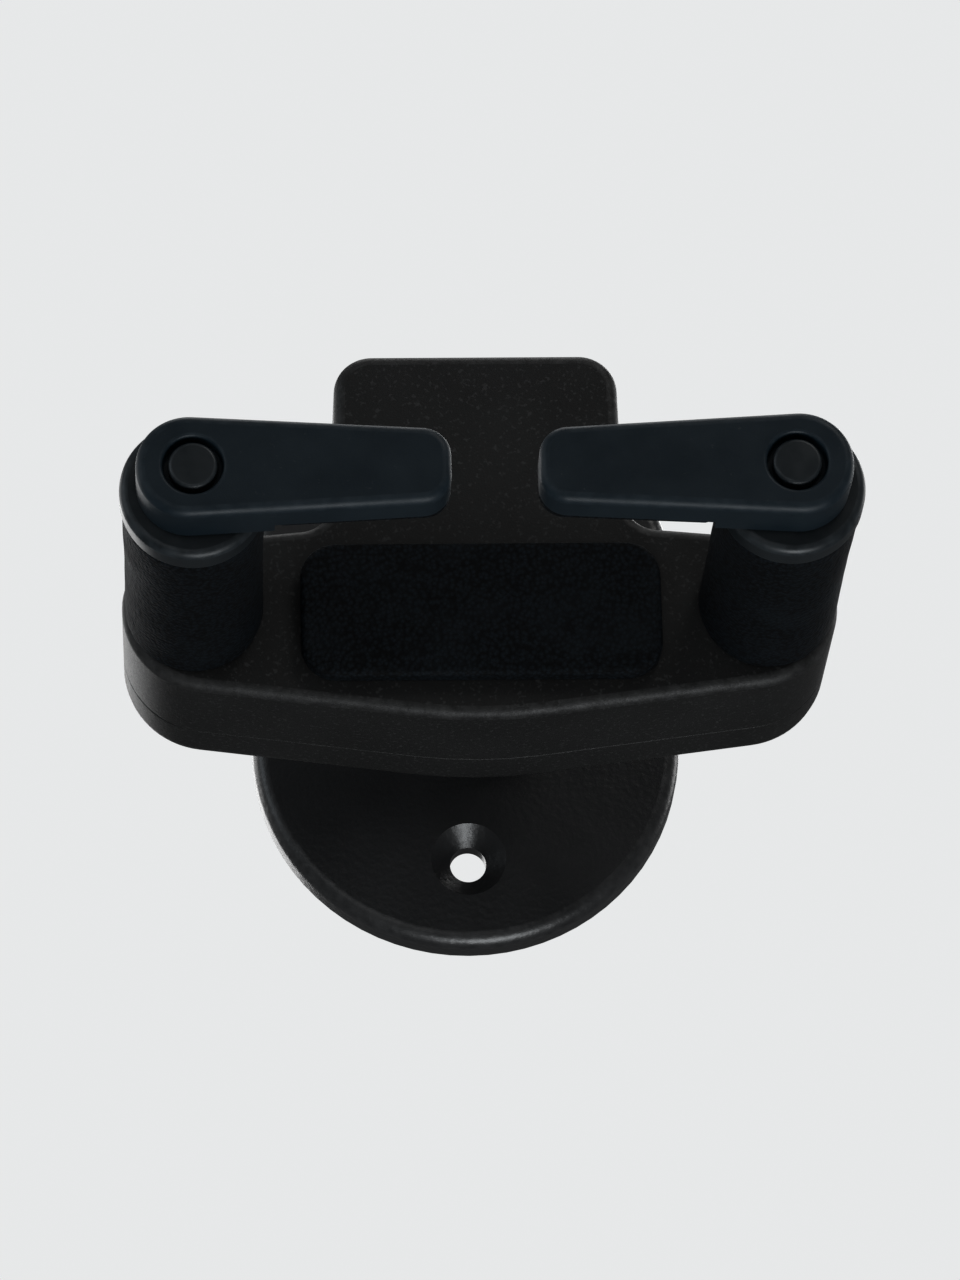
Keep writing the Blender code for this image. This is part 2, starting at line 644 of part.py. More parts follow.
def gate_corners(start, boss, tip, way, boss_r, tip_r):
    """A finger from its boss end to its tip, pointing to the hanger's middle. way is the side it is on."""
    corners = [(start, -boss, boss_r), (GATE_LENGTH, -tip, tip_r), (GATE_LENGTH, tip, tip_r), (start, boss, boss_r)]
    if way < 0:
        return corners
    return [(-x, z, radius) for x, z, radius in reversed(corners)]


def make_finger(side, way, at):
    corners = gate_corners(-GATE_BOSS, GATE_BOSS, GATE_TIP, way, 0.0072, 0.0040)
    finger = moulding(f"gate_finger_{side}", corners, GATE_FRONT, GATE_BACK - 0.0002, GATE_EDGE, 0, at)
    x = at[0] - way * (PAD_START - GAP)
    far = at[0] - way * (GATE_LENGTH + 0.005)
    low = (min(x, far), GATE_BACK - PAD_T - GAP - 0.0002, at[1] - 0.01)
    high = (max(x, far), GATE_BACK + 0.001, at[1] + 0.01)
    cut(finger, box(f"pad_rebate_{side}", low, high))
    cut(finger, rod_y(f"head_sink_{side}", 0.0041, GATE_FRONT - 0.001, GATE_FRONT + 0.0025, at))
    cut(finger, rod_y(f"screw_way_{side}", 0.0015 + GAP, GATE_FRONT, GATE_BACK, at, 16))
    cut(finger, rod_y(f"hex_socket_{side}", SHAFT_HEX_R + GAP, -0.1147, -0.1090, at, 6))
    return finger


def make_gate_pad(side, way, at):
    corners = gate_corners(PAD_START, 0.0061, 0.0049, way, 0.0010, 0.0036)
    back = GATE_BACK - 0.0002
    return moulding(f"gate_pad_{side}", corners, back - PAD_T, back, 0, 0.0005, at)


def make_shaft(side, at):
    shaft = rod_y(f"gate_shaft_{side}", SHAFT_R, -0.1093, -0.0346, at)
    join(shaft, rod_y(f"shaft_hex_{side}", SHAFT_HEX_R, -0.1144, -0.1070, at, 6))
    cut(shaft, rod_y(f"front_thread_{side}", 0.0015 + GAP, -0.1160, -0.1040, at, 12))
    cut(shaft, rod_y(f"back_thread_{side}", 0.0015 + GAP, -0.0440, -0.0330, at, 12))
    return shaft


def make_gate_screw(side, at):
    """A low-head screw that holds the gate on its shaft, with a hexagon socket."""
    under, top, head_r, shank_r, tip = -0.1158, -0.1170, 0.0024, 0.0015, -0.1050
    profile = [(0, tip), (shank_r, tip), (shank_r, under), (head_r, under)]
    profile += [(head_r, top + 0.0004), (head_r - 0.0004, top), (0, top)]
    screw = turned(f"gate_screw_{side}", profile, at, count=24)
    cut(screw, rod_y(f"hex_key_{side}", 0.0010, top - 0.001, top + 0.0007, at, 6))
    return screw


def make_gate_cap(side, at):
    """A thin cap pressed over the gate screw's head, with a rounded rim."""
    outer, bore, rim = 0.0033, 0.0024 + GAP, 0.0005
    back, inner, face = -0.1158, -0.1170 - GAP, -0.1179
    steps = [math.pi / 2 * k / EDGE_STEPS for k in range(EDGE_STEPS + 1)]
    profile = [(0, inner), (bore, inner), (bore, back), (outer, back)]
    profile += [(outer - rim * (1 - math.cos(a)), face + rim * (1 - math.sin(a))) for a in steps]
    return turned(f"gate_cap_{side}", profile + [(0, face)], at, count=24)


def make_end_screw(side, at):
    head_back, head_front, tip = -0.0309, -0.0326, -0.0430
    profile = [(0, head_back), (0.0020, head_back), (0.0030, head_back - 0.0007), (0.0030, head_front)]
    profile += [(0.0015, head_front), (0.0015, tip), (0, tip)]
    return turned(f"end_screw_{side}", profile, at, count=16)


def make_shaft_ring(side, at):
    """A snap ring with its mouth downwards."""
    mouth = math.radians(30)
    steps = [-math.pi / 2 + mouth + (2 * math.pi - 2 * mouth) * k / 20 for k in range(21)]
    outer, inner = 0.0050, SHAFT_R + 0.8 * GAP
    outline = [(outer * math.cos(a), outer * math.sin(a)) for a in steps]
    outline += [(inner * math.cos(a), inner * math.sin(a)) for a in reversed(steps)]
    return outline_solid(f"shaft_ring_{side}", [outline], GEAR_BACK + 0.0004, GEAR_BACK + 0.0012, at)


def make_pinion(side, at):
    """Its teeth stand either side of the line to the idler."""
    outline = gear_outline(PINION_TEETH, math.pi / PINION_TEETH)
    return outline_solid(f"pinion_{side}", [outline, circle(SHAFT_R + GAP)], GEAR_FRONT, GEAR_BACK, at)


def make_gate(side, way, yoke):
    at = (way * ARM_X, ARM_Z)
    axis = axis_empty(f"gate_axis_{side}", (at[0], 0, at[1]))
    place(make_finger(side, way, at), "gate_rubber", axis)
    place(make_gate_pad(side, way, at), "sleeve_foam", axis)
    place(make_gate_screw(side, at), "black_screw", axis)
    place(make_gate_cap(side, at), "housing_plastic", axis)
    place(make_shaft(side, at), "steel", axis)
    place(make_pinion(side, at), "nylon", axis)
    place(make_shaft_ring(side, at), "steel", axis)
    place(ring(f"end_washer_{side}", 0.0053, 0.0018, -0.0337, -0.0329, at), "steel", axis)
    place(make_end_screw(side, at), "black_screw", axis)
    axis.location = axis.location - yoke.location
    axis.parent = yoke


def make_idler(side, way, yoke):
    """An idler gear with one tooth pointing at the rack and one at the pinion."""
    at = (way * IDLER_X, ARM_Z)
    axis = axis_empty(f"idler_axis_{side}", (at[0], 0, at[1]))
    outline = gear_outline(IDLER_TEETH, 0)
    gear = outline_solid(f"idler_gear_{side}", [outline, circle(AXLE_R + GAP, count=16)], GEAR_FRONT, GEAR_BACK, at)
    place(gear, "nylon", axis)
    axis.location = axis.location - yoke.location
    axis.parent = yoke


def build():
    make_wall_plate()
    make_stem()
    make_stop_pin()
    swivel = axis_empty("swivel_axis", (0, 0, 0))
    make_guide_block(swivel)
    make_swivel_fixings(swivel)
    make_springs(swivel)
    yoke = axis_empty("yoke_slide", (0, 0, 0))
    yoke.parent = swivel
    make_front_shell(yoke)
    make_back_cover(yoke)
    make_cover_screws(yoke)
    make_guide_rods(yoke)
    make_idler_axles(yoke)
    make_arms(yoke)
    make_neck_pad(yoke)
    for side, way in SIDES:
        make_gate(side, way, yoke)
        make_idler(side, way, yoke)
    for obj in PART.objects:
        if obj.type == "MESH":
            obj.data.shade_smooth()
            obj.data.set_sharp_from_angle(angle=math.radians(30))


build()
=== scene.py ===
"""Looks of the wall guitar hanger: fine meshes for everything that shows, their materials, lights and camera.

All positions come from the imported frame, in metres: +X right, +Y into the wall, +Z up. The hanger is at
rest as it hangs under a guitar, with the yoke down and both gates closed.
"""

import math

import bmesh
import bpy
from mathutils import Euler, Matrix, Vector, noise


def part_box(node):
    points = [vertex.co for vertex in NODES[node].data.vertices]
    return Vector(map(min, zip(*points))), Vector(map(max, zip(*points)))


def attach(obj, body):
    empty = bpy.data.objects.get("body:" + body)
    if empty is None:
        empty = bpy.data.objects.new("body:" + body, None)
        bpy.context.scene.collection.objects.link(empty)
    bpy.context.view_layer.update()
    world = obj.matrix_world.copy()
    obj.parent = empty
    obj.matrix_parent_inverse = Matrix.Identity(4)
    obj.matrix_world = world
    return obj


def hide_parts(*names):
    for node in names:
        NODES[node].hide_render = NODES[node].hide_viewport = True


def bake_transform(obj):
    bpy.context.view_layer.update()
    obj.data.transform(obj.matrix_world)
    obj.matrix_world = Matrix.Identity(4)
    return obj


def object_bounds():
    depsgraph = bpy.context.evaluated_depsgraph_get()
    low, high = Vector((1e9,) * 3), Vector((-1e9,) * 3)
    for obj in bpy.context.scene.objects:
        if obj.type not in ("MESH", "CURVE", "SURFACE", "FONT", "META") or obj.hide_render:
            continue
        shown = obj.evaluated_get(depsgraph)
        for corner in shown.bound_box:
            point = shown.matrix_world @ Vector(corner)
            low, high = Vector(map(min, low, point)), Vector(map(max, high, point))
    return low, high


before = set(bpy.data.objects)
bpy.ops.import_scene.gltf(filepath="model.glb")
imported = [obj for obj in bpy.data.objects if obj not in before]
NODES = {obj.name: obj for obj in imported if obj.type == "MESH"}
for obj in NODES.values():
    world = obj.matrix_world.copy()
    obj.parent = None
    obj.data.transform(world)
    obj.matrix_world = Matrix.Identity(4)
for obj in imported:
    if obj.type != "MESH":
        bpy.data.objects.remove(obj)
CAD_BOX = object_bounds()
SIDES = (("left", -1), ("right", 1))


def middle(node):
    low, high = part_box(node)
    return (low + high) / 2


# Fineness of the visible meshes.
ARC_STEP = math.radians(5)
ROUND = 96  # sides of a turned piece
EDGE_STEPS = 6  # facets of a rounded rim
RIM_CURVE = (350, 3000)  # bend in radians per metre across the rims that handling rubs
RIM_SHARE = 0.2  # share of a face's outline that has to bend so
SHARP = 35  # degrees between two faces from which their edge stays sharp
SAME_POINT = 1e-6  # points closer than this are one point
GAP = 0.0003  # the gap that the frame keeps between touching pieces
PAST = 0.001  # how far a carving tool stands past the face that it opens

# Places and sizes read from the frame.
ARM_X, ARM_Z = middle("arm_collar_right").x, middle("arm_collar_right").z
HOUSING_FRONT, HOUSING_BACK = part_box("front_shell")[0].y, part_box("back_cover")[1].y
SEAM_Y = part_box("front_shell")[1].y + GAP
SHELL_BACK = SEAM_Y - 0.0001  # the seam shows as a fine line
GATE_FRONT, GATE_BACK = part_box("gate_finger_right")[0].y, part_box("gate_finger_right")[1].y
PLATE_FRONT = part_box("wall_plate")[0].y
PLATE_HALF_W, PLATE_HALF_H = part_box("wall_plate")[1].x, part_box("wall_plate")[1].z

# Shapes that the boxes can't tell, in metres, as in the design.
WALL = 0.0024
END_X, END_TOP, END_BOTTOM = 0.0507, 0.0098, 0.0104
END_TOP_R, END_LOW_R, BACK_RIM = 0.0098, 0.0124, 0.0054
TOWER_HALF_W, TOWER_TOP, TOWER_R = 0.0202, 0.0250, 0.0055
SHOULDER_X, SHOULDER_Z, SHOULDER_R = 0.0208, 0.0126, 0.0050
KEEL_Z, KEEL_R = -0.0310, 0.0700
TRAVEL = 0.0050 * math.pi / 2
STEM_NOSE_R, STEM_R, STEM_FILLET = 0.0070, 0.0090, 0.0074
STEM_FLANGE_FRONT, STEM_NOSE_Y = -0.0100, -0.0320
GATE_LENGTH, GATE_BOSS, GATE_TIP, GATE_EDGE = 0.0346, 0.0077, 0.0053, 0.0013
GATE_BOSS_R, GATE_TIP_R = 0.0072, 0.0040
GATE_SCREW_WAY_R, HEX_R, HEX_SOCKET = 0.0018, 0.0032, (-0.1147, -0.1090)
RECESS_R, RECESS_FLOOR = 0.0041, GATE_FRONT + 0.0025
PAD_START, PAD_T, PAD_R, PAD_TIP_R = 0.0112, 0.0020, 0.0010, 0.0036
PAD_BOSS, PAD_TIP = 0.0061, 0.0049
WALL_SCREW_Z, WALL_SCREW_R, WALL_SINK_R = 0.0315, 0.0027, 0.0056
STEM_SCREW_PITCH_R, STEM_SCREW_R, SINK_R, SINK_DEPTH = 0.012, 0.0018, 0.0038, 0.0020
BOLT_THREAD_R, BOLT_THREAD_END = 0.0028, -0.0240
STOP_PIN_Z, STOP_PIN_WAY_R, STOP_PIN_WAY_END = 0.0050, 0.0014, -0.0337

# Screws with a pan head: head and shank radii, the head's height and dome, and the point's length.
COVER_SCREW = {"head_r": 0.0028, "head_h": 0.0012, "dome": 0.0010, "shank_r": 0.0014, "point": 0.0005}
END_SCREW = {"head_r": 0.0030, "head_h": 0.0017, "dome": 0.0013, "shank_r": 0.0015, "point": 0.0004}
POINT_TAPER = 0.0004

# The housing's bosses and ways: radii, and depths along Y as (front, back).
TUBE_WAY_R = 0.0078
FRONT_BOSS_R, FRONT_BOSS_BACK, SOCKET = 0.0091, -0.0565, (-0.0660, -0.0586)
SHAFT_WAY_R, SHAFT_WAY = 0.0036, (-0.0620, -0.0550)
REAR_BOSS_R, REAR_BOSS_FRONT = 0.0066, -0.0399
BEHIND = -0.0320  # past the housing's back, where its carving tools end
BUSH_WAY_R, BUSH_WAY = 0.0048, (-0.0420, BEHIND)
AXLE_BOSS_R, ROD_WAY_R = 0.0038, 0.0023
FRONT_AXLE_BOSS_BACK, FRONT_AXLE_SEAT = -0.0554, (-0.0629, -0.0500)
REAR_AXLE_BOSS_FRONT, REAR_AXLE_SEAT = -0.0492, (-0.0520, -0.0351)
POST_R, COVER_SCREW_WAY_R, COVER_SINK_R = 0.0030, 0.0017, 0.0031
COVER_THREAD_FRONT, COVER_SCREW_WAY = -0.0590, (-0.0480, BEHIND)
STEM_SLOT = (-0.0400, BEHIND)


# Outlines, as anticlockwise lists of (x, z) points seen from the front.


def rounded(corners):
    """A closed outline through corners (x, z, radius) with a fine arc at each corner."""
    points = []
    for i, (x, z, radius) in enumerate(corners):
        here = Vector((x, z))
        before = (here - Vector(corners[i - 1][:2])).normalized()
        after = (Vector(corners[(i + 1) % len(corners)][:2]) - here).normalized()
        turn = math.atan2(before.cross(after), before.dot(after))
        start = here - before * radius * math.tan(abs(turn) / 2)
        centre = start + Vector((-before.y, before.x)) * math.copysign(radius, turn)
        steps = max(4, round(abs(turn) / ARC_STEP))
        for k in range(steps + 1):
            arm = start - centre
            arm.rotate(Matrix.Rotation(turn * k / steps, 2))
            points.append(tuple(centre + arm))
    return points


def inset(corners, depth):
    """The same corners with every edge moved inwards by depth."""
    moved = []
    for i, (x, z, radius) in enumerate(corners):
        here = Vector((x, z))
        before = (here - Vector(corners[i - 1][:2])).normalized()
        after = (Vector(corners[(i + 1) % len(corners)][:2]) - here).normalized()
        first, second = Vector((-before.y, before.x)), Vector((-after.y, after.x))
        corner = here + (first + second) * depth / (1 + first.dot(second))
        bulges = before.cross(after) > 0
        sharpest = min(radius, 0.0004)
        moved.append((corner.x, corner.y, max(radius - depth, sharpest) if bulges else radius + depth))
    return moved


def oblong(half_w, low, high, radius):
    """An upright rounded rectangle, centred on x = 0."""
    return [(half_w, low, radius), (half_w, high, radius), (-half_w, high, radius), (-half_w, low, radius)]


def housing_corners():
    right = [
        (0, KEEL_Z, KEEL_R),
        (END_X, ARM_Z - END_BOTTOM, END_LOW_R),
        (END_X, ARM_Z + END_TOP, END_TOP_R),
        (SHOULDER_X, ARM_Z + SHOULDER_Z, SHOULDER_R),
        (TOWER_HALF_W, TOWER_TOP, TOWER_R),
    ]
    return right + [(-x, z, radius) for x, z, radius in reversed(right) if x > 0]


def gate_corners(start, boss, tip, way, boss_r, tip_r):
    """A tapering outline from half height boss at the arm to tip near the middle. way is the side's sign."""
    corners = [(start, -boss, boss_r), (GATE_LENGTH, -tip, tip_r)]
    corners += [(x, -z, radius) for x, z, radius in reversed(corners)]
    if way < 0:
        return corners
    return [(-x, z, radius) for x, z, radius in reversed(corners)]


# Meshes.


def piece_from(name, points, faces):
    mesh = bpy.data.meshes.new(name)
    mesh.from_pydata(points, [], faces)
    shape = bmesh.new()
    shape.from_mesh(mesh)
    bmesh.ops.recalc_face_normals(shape, faces=shape.faces)
    shape.to_mesh(mesh)
    shape.free()
    obj = bpy.data.objects.new(name, mesh)
    bpy.context.scene.collection.objects.link(obj)
    return obj


def stacked(name, rings, at=(0, 0)):
    """A closed mesh through rings of equally many points, with a flat cap on its first and last ring."""
    count = len(rings[0])
    faces = [list(range(count)), list(range(count * (len(rings) - 1), count * len(rings)))]
    for k in range(len(rings) - 1):
        for i in range(count):
            after = (i + 1) % count
            faces.append([k * count + i, k * count + after, (k + 1) * count + after, (k + 1) * count + i])
    points = [(x + at[0], y, z + at[1]) for ring in rings for x, y, z in ring]
    return piece_from(name, points, faces)


def quarter_round(radius, face, way):
    """(inset, y) steps of a rounded rim, from its flat face to its side.

    way is 1 where the side is behind the face, and -1 where it is in front.
    """
    angles = [math.pi / 2 * k / EDGE_STEPS for k in range(EDGE_STEPS + 1)]
    return [(radius * (1 - math.sin(a)), face + way * radius * (1 - math.cos(a))) for a in angles]


def moulding(name, corners, front, back, front_edge=0, back_edge=0, at=(0, 0)):
    """A plate between two depths whose front and back rims are rounded."""
    layers = quarter_round(front_edge, front, 1) if front_edge else [(0, front)]
    layers += reversed(quarter_round(back_edge, back, -1)) if back_edge else [(0, back)]
    rings = [[(x, y, z) for x, z in rounded(inset(corners, depth))] for depth, y in layers]
    return stacked(name, rings, at)


def pillow(name, corners, base, face, edge, crown, at=(0, 0)):
    """A pad from its flat base to a face that is rounded at the rim and crowned in the middle."""
    way = math.copysign(1, base - face)
    layers = [(0, base)] + list(reversed(quarter_round(edge, face, way)))
    rings = [[(x, y, z) for x, z in rounded(inset(corners, depth))] for depth, y in layers]
    rim = rings[-1]
    hub = Vector((sum(x for x, _, _ in rim), sum(z for _, _, z in rim))) / len(rim)
    steps = 15
    for k in range(1, steps):
        share = 1 - k / steps
        y = face - way * crown * (1 - share * share)
        rings.append([(hub.x + (x - hub.x) * share, y, hub.y + (z - hub.y) * share) for x, _, z in rim])
    return stacked(name, rings, at)


def turned(name, profile, at=(0, 0), closed=False, count=ROUND):
    """A shape turned about a line along Y, from (radius, y) points. An open profile ends on the axis."""
    angles = [2 * math.pi * i / count for i in range(count)]
    points, rows, faces = [], [], []
    for radius, y in profile:
        if radius == 0:
            rows.append([len(points)] * count)
            points.append((at[0], y, at[1]))
            continue
        rows.append([len(points) + i for i in range(count)])
        points += [(at[0] + radius * math.cos(a), y, at[1] + radius * math.sin(a)) for a in angles]
    pairs = list(zip(rows, rows[1:] + rows[:1])) if closed else list(zip(rows, rows[1:]))
    for one, two in pairs:
        for i in range(count):
            after = (i + 1) % count
            corners = [one[i], one[after], two[after], two[i]]
            faces.append([c for k, c in enumerate(corners) if c not in corners[:k]])
    return piece_from(name, points, faces)


def arc(centre, radius, start, end, steps=EDGE_STEPS):
    """(radius, y) points of a profile's round corner, with angles in degrees from outwards to back."""
    angles = [math.radians(start + (end - start) * k / steps) for k in range(steps + 1)]
    return [(centre[0] + radius * math.cos(a), centre[1] + radius * math.sin(a)) for a in angles]


def bar(name, radius, front, back, at, count=ROUND, back_radius=None):
    """A plain cylinder along Y, or a cone."""
    back_radius = radius if back_radius is None else back_radius
    return turned(name, [(0, front), (radius, front), (back_radius, back), (0, back)], at, count=count)


def upright(name, radius, x, y, low, high):
    """A plain cylinder along Z."""
    tool = bar(name, radius, low, high, (0, 0), 48)
    tool.data.transform(Matrix.Translation((x, y, 0)) @ Matrix.Rotation(math.pi / 2, 4, "X"))
    return tool


def carve(obj, tool, operation="DIFFERENCE"):
    """Cuts the tool's shape out of a piece, or joins it on with UNION, and uses the tool up."""
    modifier = obj.modifiers.new("carve", "BOOLEAN")
    modifier.operation = operation
    modifier.object = tool
    bpy.context.view_layer.update()
    graph = bpy.context.evaluated_depsgraph_get()
    carved = bpy.data.meshes.new_from_object(obj.evaluated_get(graph))
    obj.modifiers.clear()
    obj.data = carved
    bpy.data.objects.remove(tool)


def weather(obj, size, depth, seed):
    """Moves every point along its normal by a little smooth noise, so a soft surface isn't machine-true."""
    mesh = obj.data
    moves = []
    for vertex in mesh.vertices:
        spot = vertex.co / size + Vector((seed, 0, 0))
        moves.append(vertex.normal * noise.noise(spot) * depth)
    for vertex, move in zip(mesh.vertices, moves):
        vertex.co += move


def bend(edge):
    """How sharply a surface bends outwards at an edge, in radians per metre."""
    if len(edge.link_faces) != 2:
        return 0
    first, second = (face.calc_center_median() for face in edge.link_faces)
    return edge.calc_face_angle_signed(0) / max((first - second).length, SAME_POINT)


def mark_rims(mesh):
    """A face attribute that is 1 on rounded rims, which handling rubs first, but not on wider bends."""
    shape = bmesh.new()
    shape.from_mesh(mesh)
    rim = shape.faces.layers.float.new("rim")
    for face in shape.faces:
        bent = sum(edge.calc_length() for edge in face.edges if RIM_CURVE[0] < bend(edge) < RIM_CURVE[1])
        face[rim] = float(bent / face.calc_perimeter() > RIM_SHARE)
    shape.to_mesh(mesh)
    shape.free()


def dress(obj, body, material, node, sharp=SHARP):
    """Finishes a piece: material, smooth shading, its body and the CAD node that it stands for."""
    mark_rims(obj.data)
    obj.data.materials.clear()
    obj.data.materials.append(material)
    obj.data.shade_smooth()
    obj.data.set_sharp_from_angle(angle=math.radians(sharp))
    normals = obj.modifiers.new("normals", "WEIGHTED_NORMAL")
    normals.keep_sharp = True
    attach(obj, body)
    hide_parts(node)


# Materials. Every texture is laid out in metres over the object.


def new_look(name, roughness, metallic=0.0, specular=0.5, coat=0.0):
    material = bpy.data.materials.new(name)
    material.use_nodes = True
    shader = material.node_tree.nodes["Principled BSDF"]
    shader.inputs["Roughness"].default_value = roughness
    shader.inputs["Metallic"].default_value = metallic
    shader.inputs["Specular IOR Level"].default_value = specular
    shader.inputs["Coat Weight"].default_value = coat
    shader.inputs["Coat Roughness"].default_value = 0.3
    return material


def add_node(material, kind, **settings):
    node = material.node_tree.nodes.new(kind)
    for key, value in settings.items():
        setattr(node, key, value)
    return node


def wire(material, output, node, socket):
    material.node_tree.links.new(output, node.inputs[socket])


def laid_out(material, size, stretch=(1, 1, 1)):
    """Places on the object in units of the given size in metres, each axis stretched on its own."""
    where = add_node(material, "ShaderNodeTexCoord")
    scaled = add_node(material, "ShaderNodeMapping")
    scaled.inputs["Scale"].default_value = [s / size for s in stretch]
    wire(material, where.outputs["Object"], scaled, "Vector")
    return scaled.outputs["Vector"]


def grain(material, size, detail=2.0, stretch=(1, 1, 1), rough=0.5):
    """Noise with features of the given size in metres."""
    texture = add_node(material, "ShaderNodeTexNoise")
    texture.inputs["Scale"].default_value = 1
    texture.inputs["Detail"].default_value = detail
    texture.inputs["Roughness"].default_value = rough
    wire(material, laid_out(material, size, stretch), texture, "Vector")
    return texture.outputs["Fac"]


def cells(material, size):
    """Distances of a cell pattern with cells of the given size in metres."""
    where = add_node(material, "ShaderNodeTexCoord")
    texture = add_node(material, "ShaderNodeTexVoronoi")
    texture.inputs["Scale"].default_value = 1 / size
    wire(material, where.outputs["Object"], texture, "Vector")
    return texture.outputs["Distance"]


def spread(material, factor, low, high, to_low=0.0, to_high=1.0):
    """The factor's stretch from low to high, mapped to another stretch and held inside it."""
    scaled = add_node(material, "ShaderNodeMapRange")
    for socket, value in (("From Min", low), ("From Max", high), ("To Min", to_low), ("To Max", to_high)):
        scaled.inputs[socket].default_value = value
    wire(material, factor, scaled, "Value")
    return scaled.outputs["Result"]


def blend_colours(material, factor, first, second):
    """A colour between two, each a fixed colour or another mix's output."""
    mix = add_node(material, "ShaderNodeMix", data_type="RGBA")
    wire(material, factor, mix, 0)
    for index, colour in ((6, first), (7, second)):
        if isinstance(colour, tuple):
            mix.inputs[index].default_value = (*colour, 1)
        else:
            material.node_tree.links.new(colour, mix.inputs[index])
    return mix.outputs[2]


def paint(material, colour):
    wire(material, colour, material.node_tree.nodes["Principled BSDF"], "Base Color")


def gloss(material, factor, low, high):
    """Roughness that follows a factor between two values."""
    shader = material.node_tree.nodes["Principled BSDF"]
    wire(material, spread(material, factor, 0.25, 0.75, low, high), shader, "Roughness")


def relief(material, *layers):
    """Bumps, each a height and its depth in metres, one on top of another."""
    normal = None
    for height, depth in layers:
        bump = add_node(material, "ShaderNodeBump")
        bump.inputs["Distance"].default_value = depth
        wire(material, height, bump, "Height")
        if normal:
            wire(material, normal, bump, "Normal")
        normal = bump.outputs["Normal"]
    wire(material, normal, material.node_tree.nodes["Principled BSDF"], "Normal")


def rubbed_edges(material):
    """1 on rounded rims, broken up by noise, where handling has rubbed a surface."""
    rim = add_node(material, "ShaderNodeAttribute", attribute_name="rim")
    product = add_node(material, "ShaderNodeMath", operation="MULTIPLY")
    wire(material, rim.outputs["Fac"], product, 0)
    wire(material, spread(material, grain(material, 0.0016, 4), 0.32, 0.76), product, 1)
    return product.outputs["Value"]


def gate_rubber():
    """Soft-touch rubber: a bluish black with faint handling marks and a very fine moulded grain."""
    look = new_look("gate_rubber", 0.5, specular=0.28)
    smudge = grain(look, 0.009, 5, rough=0.6)
    handled = spread(look, smudge, 0.35, 0.65)
    base = blend_colours(look, handled, (0.0032, 0.0090, 0.0140), (0.0058, 0.0125, 0.0180))
    dust = spread(look, grain(look, 0.0006, 2), 0.70, 0.78, 0, 0.35)
    base = blend_colours(look, dust, base, (0.030, 0.034, 0.037))
    paint(look, blend_colours(look, rubbed_edges(look), base, (0.011, 0.018, 0.024)))
    gloss(look, smudge, 0.42, 0.56)
    relief(look, (grain(look, 0.00022, 2), 0.000012), (grain(look, 0.004, 2), 0.00003))
    return look


def sleeve_foam():
    """Closed-cell foam: dark blue-black, with pores painted darker in their hollows as shade, and flattened,
    shinier patches.
    """
    look = new_look("sleeve_foam", 0.8, specular=0.14)
    pores = cells(look, 0.00062)
    patch = grain(look, 0.011, 3)
    # Painted shade: the colour darkens towards each pore's hollow, where the bump below sinks.
    pore_shade = spread(look, pores, 0.15, 0.70)
    base = blend_colours(look, pore_shade, (0.0036, 0.0066, 0.0096), (0.0006, 0.0012, 0.0020))
    paint(look, blend_colours(look, spread(look, patch, 0.5, 0.8, 0, 0.6), base, (0.0045, 0.0082, 0.0118)))
    gloss(look, patch, 0.85, 0.66)
    deep = spread(look, pores, 0.0, 0.9, 1, 0)
    relief(look, (deep, 0.00013), (grain(look, 0.00018, 3), 0.00003), (patch, 0.00014))
    return look


def housing_plastic():
    """Spark-textured moulded plastic, a neutral near-black with fine lighter specks."""
    look = new_look("housing_plastic", 0.5, specular=0.3)
    spark = grain(look, 0.00035, 3, rough=0.6)
    speck = spread(look, grain(look, 0.00055, 1), 0.60, 0.72, 0, 0.8)
    cloud = spread(look, grain(look, 0.014, 3), 0.3, 0.7)
    base = blend_colours(look, cloud, (0.0062, 0.0065, 0.0066), (0.0092, 0.0096, 0.0098))
    base = blend_colours(look, speck, base, (0.022, 0.0225, 0.023))
    paint(look, blend_colours(look, rubbed_edges(look), base, (0.023, 0.0235, 0.024)))
    gloss(look, spark, 0.44, 0.62)
    relief(look, (spark, 0.00004), (grain(look, 0.0012, 2), 0.00002))
    return look


def collar_plastic():
    """The harder, smoother plastic of the arms' end collars."""
    look = new_look("collar_plastic", 0.4, specular=0.36)
    streak = grain(look, 0.003, 4)
    handled = spread(look, streak, 0.3, 0.7)
    base = blend_colours(look, handled, (0.0055, 0.0085, 0.0108), (0.0090, 0.0125, 0.0150))
    paint(look, blend_colours(look, rubbed_edges(look), base, (0.020, 0.025, 0.029)))
    gloss(look, streak, 0.36, 0.48)
    relief(look, (grain(look, 0.0003, 2), 0.00001))
    return look


def plate_paint():
    """Satin powder coat with its orange-peel skin."""
    look = new_look("plate_paint", 0.38, specular=0.5, coat=0.12)
    peel = grain(look, 0.0009, 2, rough=0.4)
    shade = grain(look, 0.02, 3)
    cloud = spread(look, shade, 0.3, 0.7)
    base = blend_colours(look, cloud, (0.0085, 0.0090, 0.0098), (0.0125, 0.0130, 0.0140))
    paint(look, blend_colours(look, rubbed_edges(look), base, (0.021, 0.0215, 0.0225)))
    gloss(look, shade, 0.34, 0.46)
    relief(look, (peel, 0.00007), (grain(look, 0.0002, 2), 0.000008))
    return look


def metal(name, dark, light, smooth, rough, stretch=(1, 1, 1), depth=0.00001):
    """Metal whose colour and gloss vary along its working marks."""
    look = new_look(name, rough, metallic=1.0)
    marks = grain(look, 0.0006, 4, stretch=stretch, rough=0.65)
    stain = grain(look, 0.004, 3)
    base = blend_colours(look, spread(look, stain, 0.3, 0.7), dark, light)
    paint(look, blend_colours(look, spread(look, marks, 0.3, 0.7, 0, 0.3), base, dark))
    gloss(look, marks, smooth, rough)
    relief(look, (marks, depth))
    return look


